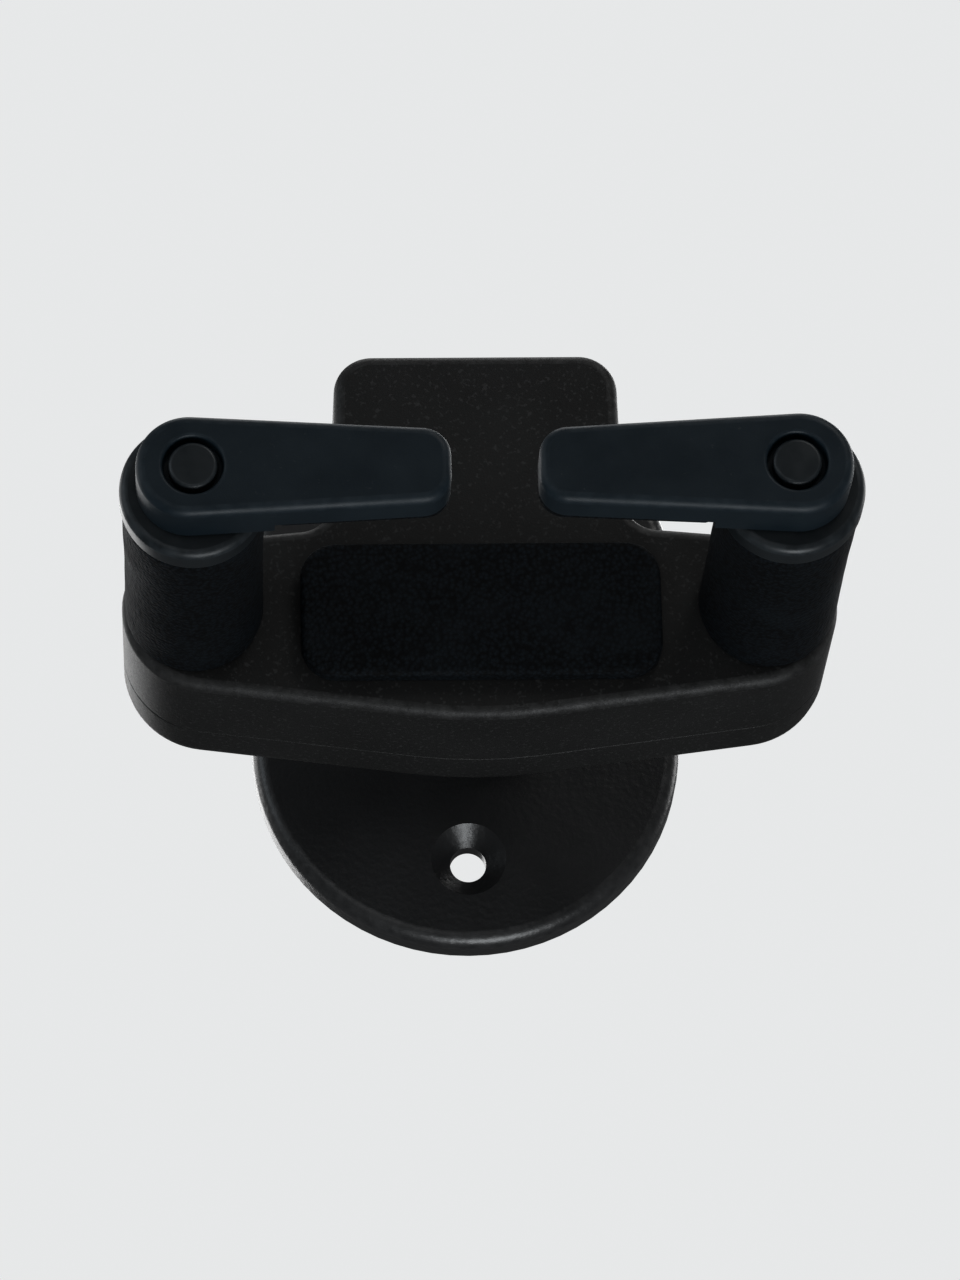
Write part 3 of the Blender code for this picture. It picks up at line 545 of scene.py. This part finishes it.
def acetal():
    """Natural engineering plastic: milky, a little glossy, with fine machining marks."""
    look = new_look("acetal", 0.4, specular=0.5)
    shader = look.node_tree.nodes["Principled BSDF"]
    shader.inputs["Subsurface Weight"].default_value = 0.1
    shader.inputs["Subsurface Scale"].default_value = 0.001
    cloud = grain(look, 0.006, 3)
    paint(look, blend_colours(look, spread(look, cloud, 0.3, 0.7), (0.66, 0.65, 0.60), (0.76, 0.75, 0.70)))
    gloss(look, cloud, 0.34, 0.48)
    relief(look, (grain(look, 0.0004, 3, stretch=(1, 0.1, 1)), 0.00001))
    return look


RUBBER = gate_rubber()
FOAM = sleeve_foam()
PLASTIC = housing_plastic()
COLLAR = collar_plastic()
PAINT = plate_paint()
ZINC = metal("zinc_steel", (0.40, 0.41, 0.42), (0.60, 0.61, 0.63), 0.34, 0.50)
GROUND = metal("ground_steel", (0.46, 0.47, 0.48), (0.62, 0.63, 0.64), 0.16, 0.30, stretch=(1, 0.05, 1))
OXIDE = metal("black_oxide", (0.018, 0.021, 0.024), (0.040, 0.044, 0.048), 0.24, 0.38)
BRONZE = metal("sintered_bronze", (0.34, 0.22, 0.11), (0.48, 0.33, 0.17), 0.34, 0.52, depth=0.00003)
ACETAL = acetal()


# Wall plate, stem and their screws.


def stem_screw_places():
    angles = [math.radians(90 + 120 * i) for i in range(3)]
    return [(STEM_SCREW_PITCH_R * math.cos(a), STEM_SCREW_PITCH_R * math.sin(a)) for a in angles]


def make_wall_plate():
    """The plate with its two countersunk wall holes, and three from behind for the stem's screws."""
    corners = oblong(PLATE_HALF_W, -PLATE_HALF_H, PLATE_HALF_H, PLATE_HALF_W - 0.0001)
    plate = moulding("wall_plate_fine", corners, PLATE_FRONT, 0, front_edge=0.0022, back_edge=0.0004)
    over = 0.0004
    sink_front, sink_back = PLATE_FRONT - over, PLATE_FRONT + WALL_SINK_R - WALL_SCREW_R
    for z in (-WALL_SCREW_Z, WALL_SCREW_Z):
        carve(plate, bar("hole", WALL_SCREW_R, PLATE_FRONT - PAST, PAST, (0, z)))
        carve(plate, bar("sink", WALL_SINK_R + over, sink_front, sink_back, (0, z), ROUND, WALL_SCREW_R))
    for at in stem_screw_places():
        carve(plate, bar("hole", STEM_SCREW_R + GAP, PLATE_FRONT - PAST, PAST, at, 48))
        carve(plate, bar("sink", STEM_SCREW_R, -SINK_DEPTH - GAP, GAP, at, 48, SINK_R + 2 * GAP))
    dress(plate, "wall_bracket", PAINT, "wall_plate")


def make_stem():
    """A turned stem with a filleted foot and a nose that passes through the housing's slot."""
    low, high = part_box("stem")
    foot, flange_r, rim, chamfer = high.y, high.x, 0.0008, 0.0004
    fillet_y = STEM_FLANGE_FRONT - rim - STEM_FILLET
    profile = [(0, foot), (flange_r - chamfer, foot), (flange_r, foot - chamfer)]
    profile += arc((flange_r - rim, STEM_FLANGE_FRONT + rim), rim, 0, -90)
    profile += [(STEM_R + STEM_FILLET + 0.0006, STEM_FLANGE_FRONT)]
    profile += arc((STEM_R + STEM_FILLET, fillet_y), STEM_FILLET, 90, 180, 12)
    profile += [(STEM_R, STEM_NOSE_Y + 0.0026), (STEM_R - 0.0006, STEM_NOSE_Y + 0.0020)]
    profile += [(STEM_NOSE_R + chamfer, STEM_NOSE_Y + chamfer), (STEM_NOSE_R, STEM_NOSE_Y)]
    profile += [(STEM_NOSE_R, low.y + 0.0003), (STEM_NOSE_R - 0.0003, low.y), (0, low.y)]
    stem = turned("stem_fine", profile)
    carve(stem, bar("thread", BOLT_THREAD_R, low.y - PAST, BOLT_THREAD_END, (0, 0), 48))
    carve(stem, bar("pin_hole", STOP_PIN_WAY_R, low.y - PAST, STOP_PIN_WAY_END, (0, STOP_PIN_Z), 24))
    for at in stem_screw_places():
        carve(stem, bar("flange_thread", STEM_SCREW_R + GAP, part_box("stem_screw_1")[0].y - GAP, 0, at, 48))
    dress(stem, "wall_bracket", PAINT, "stem")


def make_stem_screws():
    for i, at in enumerate(stem_screw_places()):
        low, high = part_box(f"stem_screw_{i + 1}")
        head, neck, point = high.y, high.y - SINK_DEPTH, POINT_TAPER
        profile = [(0, head), (SINK_R - 0.0002, head), (SINK_R, head - 0.0001), (STEM_SCREW_R, neck)]
        profile += [(STEM_SCREW_R, low.y + point), (STEM_SCREW_R - point, low.y), (0, low.y)]
        screw = turned(f"stem_screw_{i + 1}_fine", profile, at, count=48)
        cross_recess(screw, head, at, 0.0021)
        dress(screw, "wall_bracket", ZINC, f"stem_screw_{i + 1}")


def cross_recess(screw, face, at, reach):
    """A tapered cross, a little askew, in a screw head's rear face."""
    depth, over, half_w, askew = 0.0011, 0.0004, 0.00042, 0.4
    for turn in (0, math.pi / 2):
        rings = []
        for y, half_l in ((face + over, reach), (face - depth, reach * 0.45)):
            ring = [(half_l, y, -half_w), (half_l, y, half_w), (-half_l, y, half_w), (-half_l, y, -half_w)]
            rings.append([turned_point(point, turn + askew) for point in ring])
        carve(screw, stacked("cross", rings, at))


def turned_point(point, angle):
    x, y, z = point
    return (x * math.cos(angle) - z * math.sin(angle), y, x * math.sin(angle) + z * math.cos(angle))


def pan_head_screw(node, body, at, count, reach, head_r, head_h, dome, shank_r, point):
    """A black screw that is driven in from behind."""
    low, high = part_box(node)
    head, under = high.y, high.y - head_h
    profile = [(0, head), (head_r - dome, head)] + arc((head_r - dome, head - dome), dome, 90, 0)
    profile += [(head_r, under), (shank_r, under), (shank_r, low.y + point)]
    profile += [(shank_r - POINT_TAPER, low.y), (0, low.y)]
    screw = turned(node + "_fine", profile, at, count=count)
    cross_recess(screw, head, at, reach)
    dress(screw, body, OXIDE, node)


# Housing.


def arm_places():
    return [(way * ARM_X, ARM_Z) for _, way in SIDES]


def axle_places():
    return [(middle(f"idler_axle_{side}").x, ARM_Z) for side, _ in SIDES]


def post_places():
    return [("top", (0, middle("cover_screw_top").z)), ("bottom", (0, middle("cover_screw_bottom").z))]


def make_front_shell():
    """The front half of the housing, open at the back, with the sockets that hold the arms."""
    shell = moulding("front_shell_fine", housing_corners(), HOUSING_FRONT, SHELL_BACK, 0.0016, 0.0002)
    cavity = inset(housing_corners(), WALL)
    carve(shell, moulding("cavity", cavity, HOUSING_FRONT + WALL, SHELL_BACK + PAST, 0.0008))
    inside = HOUSING_FRONT + WALL / 2
    for at in arm_places():
        carve(shell, bar("boss", FRONT_BOSS_R, inside, FRONT_BOSS_BACK, at), "UNION")
        carve(shell, bar("socket", TUBE_WAY_R, *SOCKET, at))
        carve(shell, bar("shaft_hole", SHAFT_WAY_R, *SHAFT_WAY, at, 48))
    for at in axle_places():
        carve(shell, bar("boss", AXLE_BOSS_R, inside, FRONT_AXLE_BOSS_BACK, at, 48), "UNION")
        carve(shell, bar("seat", ROD_WAY_R, *FRONT_AXLE_SEAT, at, 48))
    for _, at in post_places():
        carve(shell, bar("post", POST_R, inside, SEAM_Y - 2 * GAP, at, 48), "UNION")
        carve(shell, bar("thread", COVER_SCREW_WAY_R, COVER_THREAD_FRONT, SEAM_Y + PAST, at, 48))
    for side, _ in SIDES:
        low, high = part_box(f"guide_rod_{side}")
        rod = middle(f"guide_rod_{side}")
        carve(shell, upright("rod_seat", ROD_WAY_R, rod.x, rod.y, low.z - GAP, high.z + GAP))
    dress(shell, "yoke", PLASTIC, "front_shell")


def make_back_cover():
    """The back half of the housing, with the slot that lets it rise past the stem."""
    cover = moulding("back_cover_fine", housing_corners(), SEAM_Y, HOUSING_BACK, 0.0002, BACK_RIM)
    cavity = inset(housing_corners(), WALL)
    carve(cover, moulding("cavity", cavity, SEAM_Y - PAST, HOUSING_BACK - WALL, 0, BACK_RIM - WALL))
    inside = HOUSING_BACK - WALL / 2
    for at in arm_places():
        carve(cover, bar("boss", REAR_BOSS_R, REAR_BOSS_FRONT, inside, at), "UNION")
        carve(cover, bar("bush_hole", BUSH_WAY_R, *BUSH_WAY, at))
    for at in axle_places():
        carve(cover, bar("boss", AXLE_BOSS_R, REAR_AXLE_BOSS_FRONT, inside, at, 48), "UNION")
        carve(cover, bar("seat", ROD_WAY_R, *REAR_AXLE_SEAT, at, 48))
    for _, at in post_places():
        carve(cover, bar("post", POST_R, SEAM_Y + 0.0001, inside, at, 48), "UNION")
        carve(cover, bar("screw_hole", COVER_SCREW_WAY_R, *COVER_SCREW_WAY, at, 48))
        carve(cover, bar("screw_sink", COVER_SINK_R, HOUSING_BACK - 0.0014, BEHIND, at, 48))
    half = STEM_NOSE_R + GAP
    slot = oblong(half, -half - TRAVEL, half, half - 0.0001)
    carve(cover, moulding("stem_slot", slot, *STEM_SLOT))
    dress(cover, "yoke", PLASTIC, "back_cover")


def make_cover_screws():
    for name, at in post_places():
        pan_head_screw(f"cover_screw_{name}", "yoke", at, 48, 0.0015, **COVER_SCREW)


# Arms.


def make_sleeve(side, at):
    """The foam sleeve, with an uneven skin and soft ends that swell a little past the collar and housing."""
    low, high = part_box(f"arm_sleeve_{side}")
    radius, mouth, edge, steps = (high.x - low.x) / 2, TUBE_WAY_R + 0.0004, 0.0011, 48
    front, back = low.y, high.y
    profile = [(TUBE_WAY_R, back), (mouth, back)] + arc((radius - edge, back - edge), edge, 90, 0)
    length = back - front - 2 * edge
    for k in range(1, steps):
        share = k / steps
        waist = 0.00012 * math.sin(math.pi * share) ** 2
        profile.append((radius - waist, back - edge - length * share))
    profile += arc((radius - edge, front + edge), edge, 0, -90) + [(mouth, front), (TUBE_WAY_R, front)]
    sleeve = turned(f"arm_sleeve_{side}_foam", profile, at, closed=True, count=128)
    weather(sleeve, 0.006, 0.00008, 3 if side == "left" else 7)
    dress(sleeve, "yoke", FOAM, f"arm_sleeve_{side}", sharp=60)


def make_collar(side, at):
    """A cup over the tube's end, with a hole for the shaft."""
    low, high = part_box(f"arm_collar_{side}")
    radius, hole, edge, rear_edge, chamfer = (high.x - low.x) / 2, 0.0040, 0.0012, 0.0005, 0.0003
    front, back, floor = low.y, high.y, low.y + 0.0010
    profile = [(TUBE_WAY_R, back), (radius - rear_edge, back)]
    profile += arc((radius - rear_edge, back - rear_edge), rear_edge, 90, 0, 4)
    profile += arc((radius - edge, front + edge), edge, 0, -90)
    profile += [(hole + chamfer, front), (hole, front + chamfer), (hole, floor), (TUBE_WAY_R, floor)]
    collar = turned(f"arm_collar_{side}_fine", profile, at, closed=True, count=128)
    dress(collar, "yoke", COLLAR, f"arm_collar_{side}")


def make_neck_pad():
    low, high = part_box("neck_pad")
    corners, crown = oblong(high.x, low.z, high.z, 0.0050), 0.0003
    pad = pillow("neck_pad_foam", corners, high.y, low.y + crown, 0.0009, crown)
    weather(pad, 0.005, 0.00006, 11)
    dress(pad, "yoke", FOAM, "neck_pad", sharp=60)


# Gates.


def make_gate_finger(side, way, at):
    """A finger with a soft front rim, a recess for its screw and cap, and a rebate for its pad."""
    corners = gate_corners(-GATE_BOSS, GATE_BOSS, GATE_TIP, way, GATE_BOSS_R, GATE_TIP_R)
    finger = moulding(f"gate_finger_{side}_fine", corners, GATE_FRONT, GATE_BACK, GATE_EDGE, 0.0004, at)
    x, far = at[0] - way * (PAD_START - GAP), at[0] - way * (GATE_LENGTH + 0.005)
    rebate = oblong(abs(far - x) / 2, -0.01, 0.01, 0.0004)
    front = GATE_BACK - PAD_T - GAP
    carve(finger, moulding("rebate", rebate, front, GATE_BACK + PAST, 0.0003, 0, ((x + far) / 2, at[1])))
    carve(finger, recess_tool(at))
    carve(finger, bar("screw_way", GATE_SCREW_WAY_R, GATE_FRONT, GATE_BACK + PAST, at, 48))
    carve(finger, bar("hex_socket", HEX_R, *HEX_SOCKET, at, 6))
    dress(finger, f"gate_{side}", RUBBER, f"gate_finger_{side}")


def recess_tool(at):
    """The screw recess with a rounded mouth and floor."""
    lip, root = 0.0005, 0.0004
    profile = [(0, GATE_FRONT - PAST), (RECESS_R + lip, GATE_FRONT - PAST), (RECESS_R + lip, GATE_FRONT)]
    profile += arc((RECESS_R + lip, GATE_FRONT + lip), lip, -90, -180)
    profile += arc((RECESS_R - root, RECESS_FLOOR - root), root, 0, 90) + [(0, RECESS_FLOOR)]
    return turned("recess", profile, at)


def make_gate_pad(side, way, at):
    corners = gate_corners(PAD_START, PAD_BOSS, PAD_TIP, way, PAD_R, PAD_TIP_R)
    low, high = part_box(f"gate_pad_{side}")
    crown = 0.0002
    pad = pillow(f"gate_pad_{side}_foam", corners, low.y, high.y - crown, 0.0006, crown, at)
    weather(pad, 0.004, 0.00004, 5 * way)
    dress(pad, f"gate_{side}", FOAM, f"gate_pad_{side}", sharp=60)


def make_gate_cap(side, at):
    """The thin cap over the gate screw's head, with a rounded rim."""
    low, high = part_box(f"gate_cap_{side}")
    outer, rim, skin = (high.x - low.x) / 2, 0.0005, 0.0006
    bore, inner = outer - skin, low.y + skin
    profile = [(0, inner), (bore, inner), (bore, high.y), (outer - 0.0001, high.y), (outer, high.y - 0.0001)]
    profile += arc((outer - rim, low.y + rim), rim, 0, -90) + [(0, low.y)]
    cap = turned(f"gate_cap_{side}_fine", profile, at, count=64)
    dress(cap, f"gate_{side}", COLLAR, f"gate_cap_{side}")


def make_end_fixings(side, at):
    """The washer and pan-head screw that keep a shaft in the housing's back."""
    pan_head_screw(f"end_screw_{side}", f"gate_{side}", at, 64, 0.0016, **END_SCREW)
    low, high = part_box(f"end_washer_{side}")
    radius, front, back, hole, edge = (high.x - low.x) / 2, low.y, high.y, 0.0018, 0.00015
    rim = [(hole, back), (radius - edge, back), (radius, back - edge), (radius, front + edge)]
    washer = turned(f"end_washer_{side}_fine", rim + [(radius - edge, front), (hole, front)], at, closed=True)
    dress(washer, f"gate_{side}", ZINC, f"end_washer_{side}")


# Springs.


def make_spring(side, way):
    """A lift spring with closed ends. It stretches between the guide block and the tower's roof."""
    low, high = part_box(f"lift_spring_{side}")
    wire_r, sides, turns, steps = 0.0005, 10, 6, 40
    closed, closed_climb = 0.7, 0.14  # turns that lie close at each end, and the climb that all turns share
    coil_r = (high.x - low.x) / 2 - wire_r
    centre = middle(f"lift_spring_{side}")
    count = turns * steps
    rings = []
    for k in range(count + 1):
        share = k / count
        turn = way * 2 * math.pi * turns * share
        climb = min(1, max(0, (share * turns - closed) / (turns - 2 * closed)))
        rise = climb * (1 - closed_climb) + share * closed_climb
        z = low.z + wire_r + (high.z - low.z - 2 * wire_r) * rise
        out = Vector((math.cos(turn), math.sin(turn), 0))
        ring = []
        for i in range(sides):
            angle = 2 * math.pi * i / sides
            spot = Vector((centre.x, centre.y, z)) + out * (coil_r + wire_r * math.cos(angle))
            ring.append(tuple(spot + Vector((0, 0, wire_r * math.sin(angle)))))
        rings.append(ring)
    spring = stacked(f"lift_spring_{side}_wire", rings)
    spring.data.materials.append(GROUND)
    spring.data.shade_smooth()
    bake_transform(spring)
    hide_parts(f"lift_spring_{side}")


# CAD nodes that keep their shape.


def paint_inner_nodes():
    """The pieces inside the housing keep their CAD shape, with a finish and with smooth round faces."""
    finishes = {
        "guide_block": ACETAL,
        "thrust_washer": BRONZE,
        "swivel_bolt": ZINC,
        "swivel_stop_pin": GROUND,
        "bolt_washer": ZINC,
    }
    for side, _ in SIDES:
        for name in ("pinion_", "idler_gear_"):
            finishes[name + side] = ACETAL
        for name in ("guide_rod_", "idler_axle_", "arm_tube_", "gate_shaft_"):
            finishes[name + side] = GROUND
        for name in ("front_bush_", "rear_bush_"):
            finishes[name + side] = BRONZE
        finishes["shaft_ring_" + side] = ZINC
        finishes["gate_screw_" + side] = OXIDE
    for name, material in finishes.items():
        node = NODES[name]
        node.data.materials.clear()
        node.data.materials.append(material)
        node.data.shade_smooth()
        if "custom_normal" in node.data.attributes:
            node.data.attributes.remove(node.data.attributes["custom_normal"])
        node.modifiers.new("weld", "WELD").merge_threshold = SAME_POINT
        node.modifiers.new("corners", "EDGE_SPLIT").split_angle = math.radians(SHARP)


# Stage, lights and camera.

ROOM_LIGHT, ROOM_REFLECTION = 0.85, 0.16
FLOOR_SIZE, FLOOR_Z, PAINTED_SHADE_RADIUS = 16, -1.0, 3.5
LIT_POINT = Vector((0, -0.08, -0.01))
VIEW_AZIMUTH, VIEW_ELEVATION, VIEW_ROLL = math.radians(-2.8), math.radians(-22.3), math.radians(-1.35)
VIEW_DISTANCE, VIEW_TARGET_Z, LENS = 0.88, -0.017, 185


def make_stage():
    """A pale floor well under the hanger, painted darker below it as shade against the lamps' pool of light
    there.
    """
    bpy.ops.mesh.primitive_plane_add(size=FLOOR_SIZE, location=(0, 0, FLOOR_Z))
    floor = bpy.context.object
    floor.name = "floor"
    look = new_look("floor_paint", 0.7)
    # Painted shade: the floor's colour darkens towards the middle, under the hanger, where the lamps light it
    # most.
    painted_pool_shade = add_node(look, "ShaderNodeTexGradient", gradient_type="SPHERICAL")
    wire(look, laid_out(look, PAINTED_SHADE_RADIUS), painted_pool_shade, "Vector")
    paint(look, blend_colours(look, painted_pool_shade.outputs["Fac"], (0.94, 0.94, 0.93), (0.62, 0.62, 0.61)))
    floor.data.materials.append(look)
    floor.visible_glossy = False


def make_world():
    """Pale all round for the eye and for matt surfaces, and dim in reflections, as with black flags."""
    world = bpy.data.worlds.new("pale_room")
    world.use_nodes = True
    tree = world.node_tree
    tree.nodes["Background"].inputs["Color"].default_value = (0.985, 0.995, 1.0, 1)
    ray = tree.nodes.new("ShaderNodeLightPath")
    level = tree.nodes.new("ShaderNodeMapRange")
    level.inputs["To Min"].default_value = ROOM_LIGHT
    level.inputs["To Max"].default_value = ROOM_REFLECTION
    tree.links.new(ray.outputs["Is Glossy Ray"], level.inputs["Value"])
    tree.links.new(level.outputs["Result"], tree.nodes["Background"].inputs["Strength"])
    bpy.context.scene.world = world
    bpy.context.scene.view_settings.view_transform = "Standard"
    bpy.context.scene.view_settings.gamma = 0.78


def add_light(name, place, size, power, colour=(1, 1, 1)):
    """A round soft light that looks at the hanger's middle."""
    data = bpy.data.lights.new(name, "AREA")
    data.shape = "DISK"
    data.size = size
    data.energy = power
    data.color = colour
    lamp = bpy.data.objects.new(name, data)
    lamp.location = place
    lamp.rotation_euler = (LIT_POINT - Vector(place)).to_track_quat("-Z", "Y").to_euler()
    bpy.context.scene.collection.objects.link(lamp)


def make_lights():
    add_light("key", (0.45, -0.70, 0.75), 0.45, 3.2, (1.0, 0.98, 0.95))
    add_light("front", (-0.20, -1.10, -0.10), 0.50, 0.9)
    add_light("window", (-0.80, -0.55, 0.25), 0.60, 2.4, (0.86, 0.94, 1.0))
    add_light("low", (0.10, -0.26, -0.58), 0.34, 3.2, (0.95, 0.98, 1.0))
    add_light("back", (0.45, 0.80, 0.60), 0.60, 5.0)
    add_light("back_left", (-0.45, 0.80, 0.25), 0.60, 3.0)
    add_light("right_side", (0.90, 0.30, 0.30), 0.60, 3.5)
    add_light("left_side", (-0.90, 0.30, 0.30), 0.60, 3.5)
    add_light("top", (0.0, 0.15, 0.90), 0.60, 3.0)


def make_camera():
    """From in front and below, as the photographer stands, with the frame turned a little."""
    focus = Vector((0, GATE_FRONT, ARM_Z))
    step = Vector((math.sin(VIEW_AZIMUTH), -math.cos(VIEW_AZIMUTH), 0)) * math.cos(VIEW_ELEVATION)
    place = focus + (step + Vector((0, 0, math.sin(VIEW_ELEVATION)))) * VIEW_DISTANCE
    target = Vector((0, (CAD_BOX[0][1] + CAD_BOX[1][1]) / 2, VIEW_TARGET_Z))
    data = bpy.data.cameras.new("camera")
    data.lens = LENS
    data.clip_start = 0.01
    camera = bpy.data.objects.new("camera", data)
    camera.location = place
    look_at = (target - place).to_track_quat("-Z", "Y")
    camera.rotation_euler = (look_at @ Euler((0, 0, VIEW_ROLL)).to_quaternion()).to_euler()
    bpy.context.scene.collection.objects.link(camera)
    bpy.context.scene.camera = camera


def build():
    make_wall_plate()
    make_stem()
    make_stem_screws()
    make_front_shell()
    make_back_cover()
    make_cover_screws()
    make_neck_pad()
    for side, way in SIDES:
        at = (way * ARM_X, ARM_Z)
        make_sleeve(side, at)
        make_collar(side, at)
        make_gate_finger(side, way, at)
        make_gate_pad(side, way, at)
        make_gate_cap(side, at)
        make_end_fixings(side, at)
        make_spring(side, way)
    paint_inner_nodes()
    make_stage()
    make_world()
    make_lights()
    make_camera()


build()
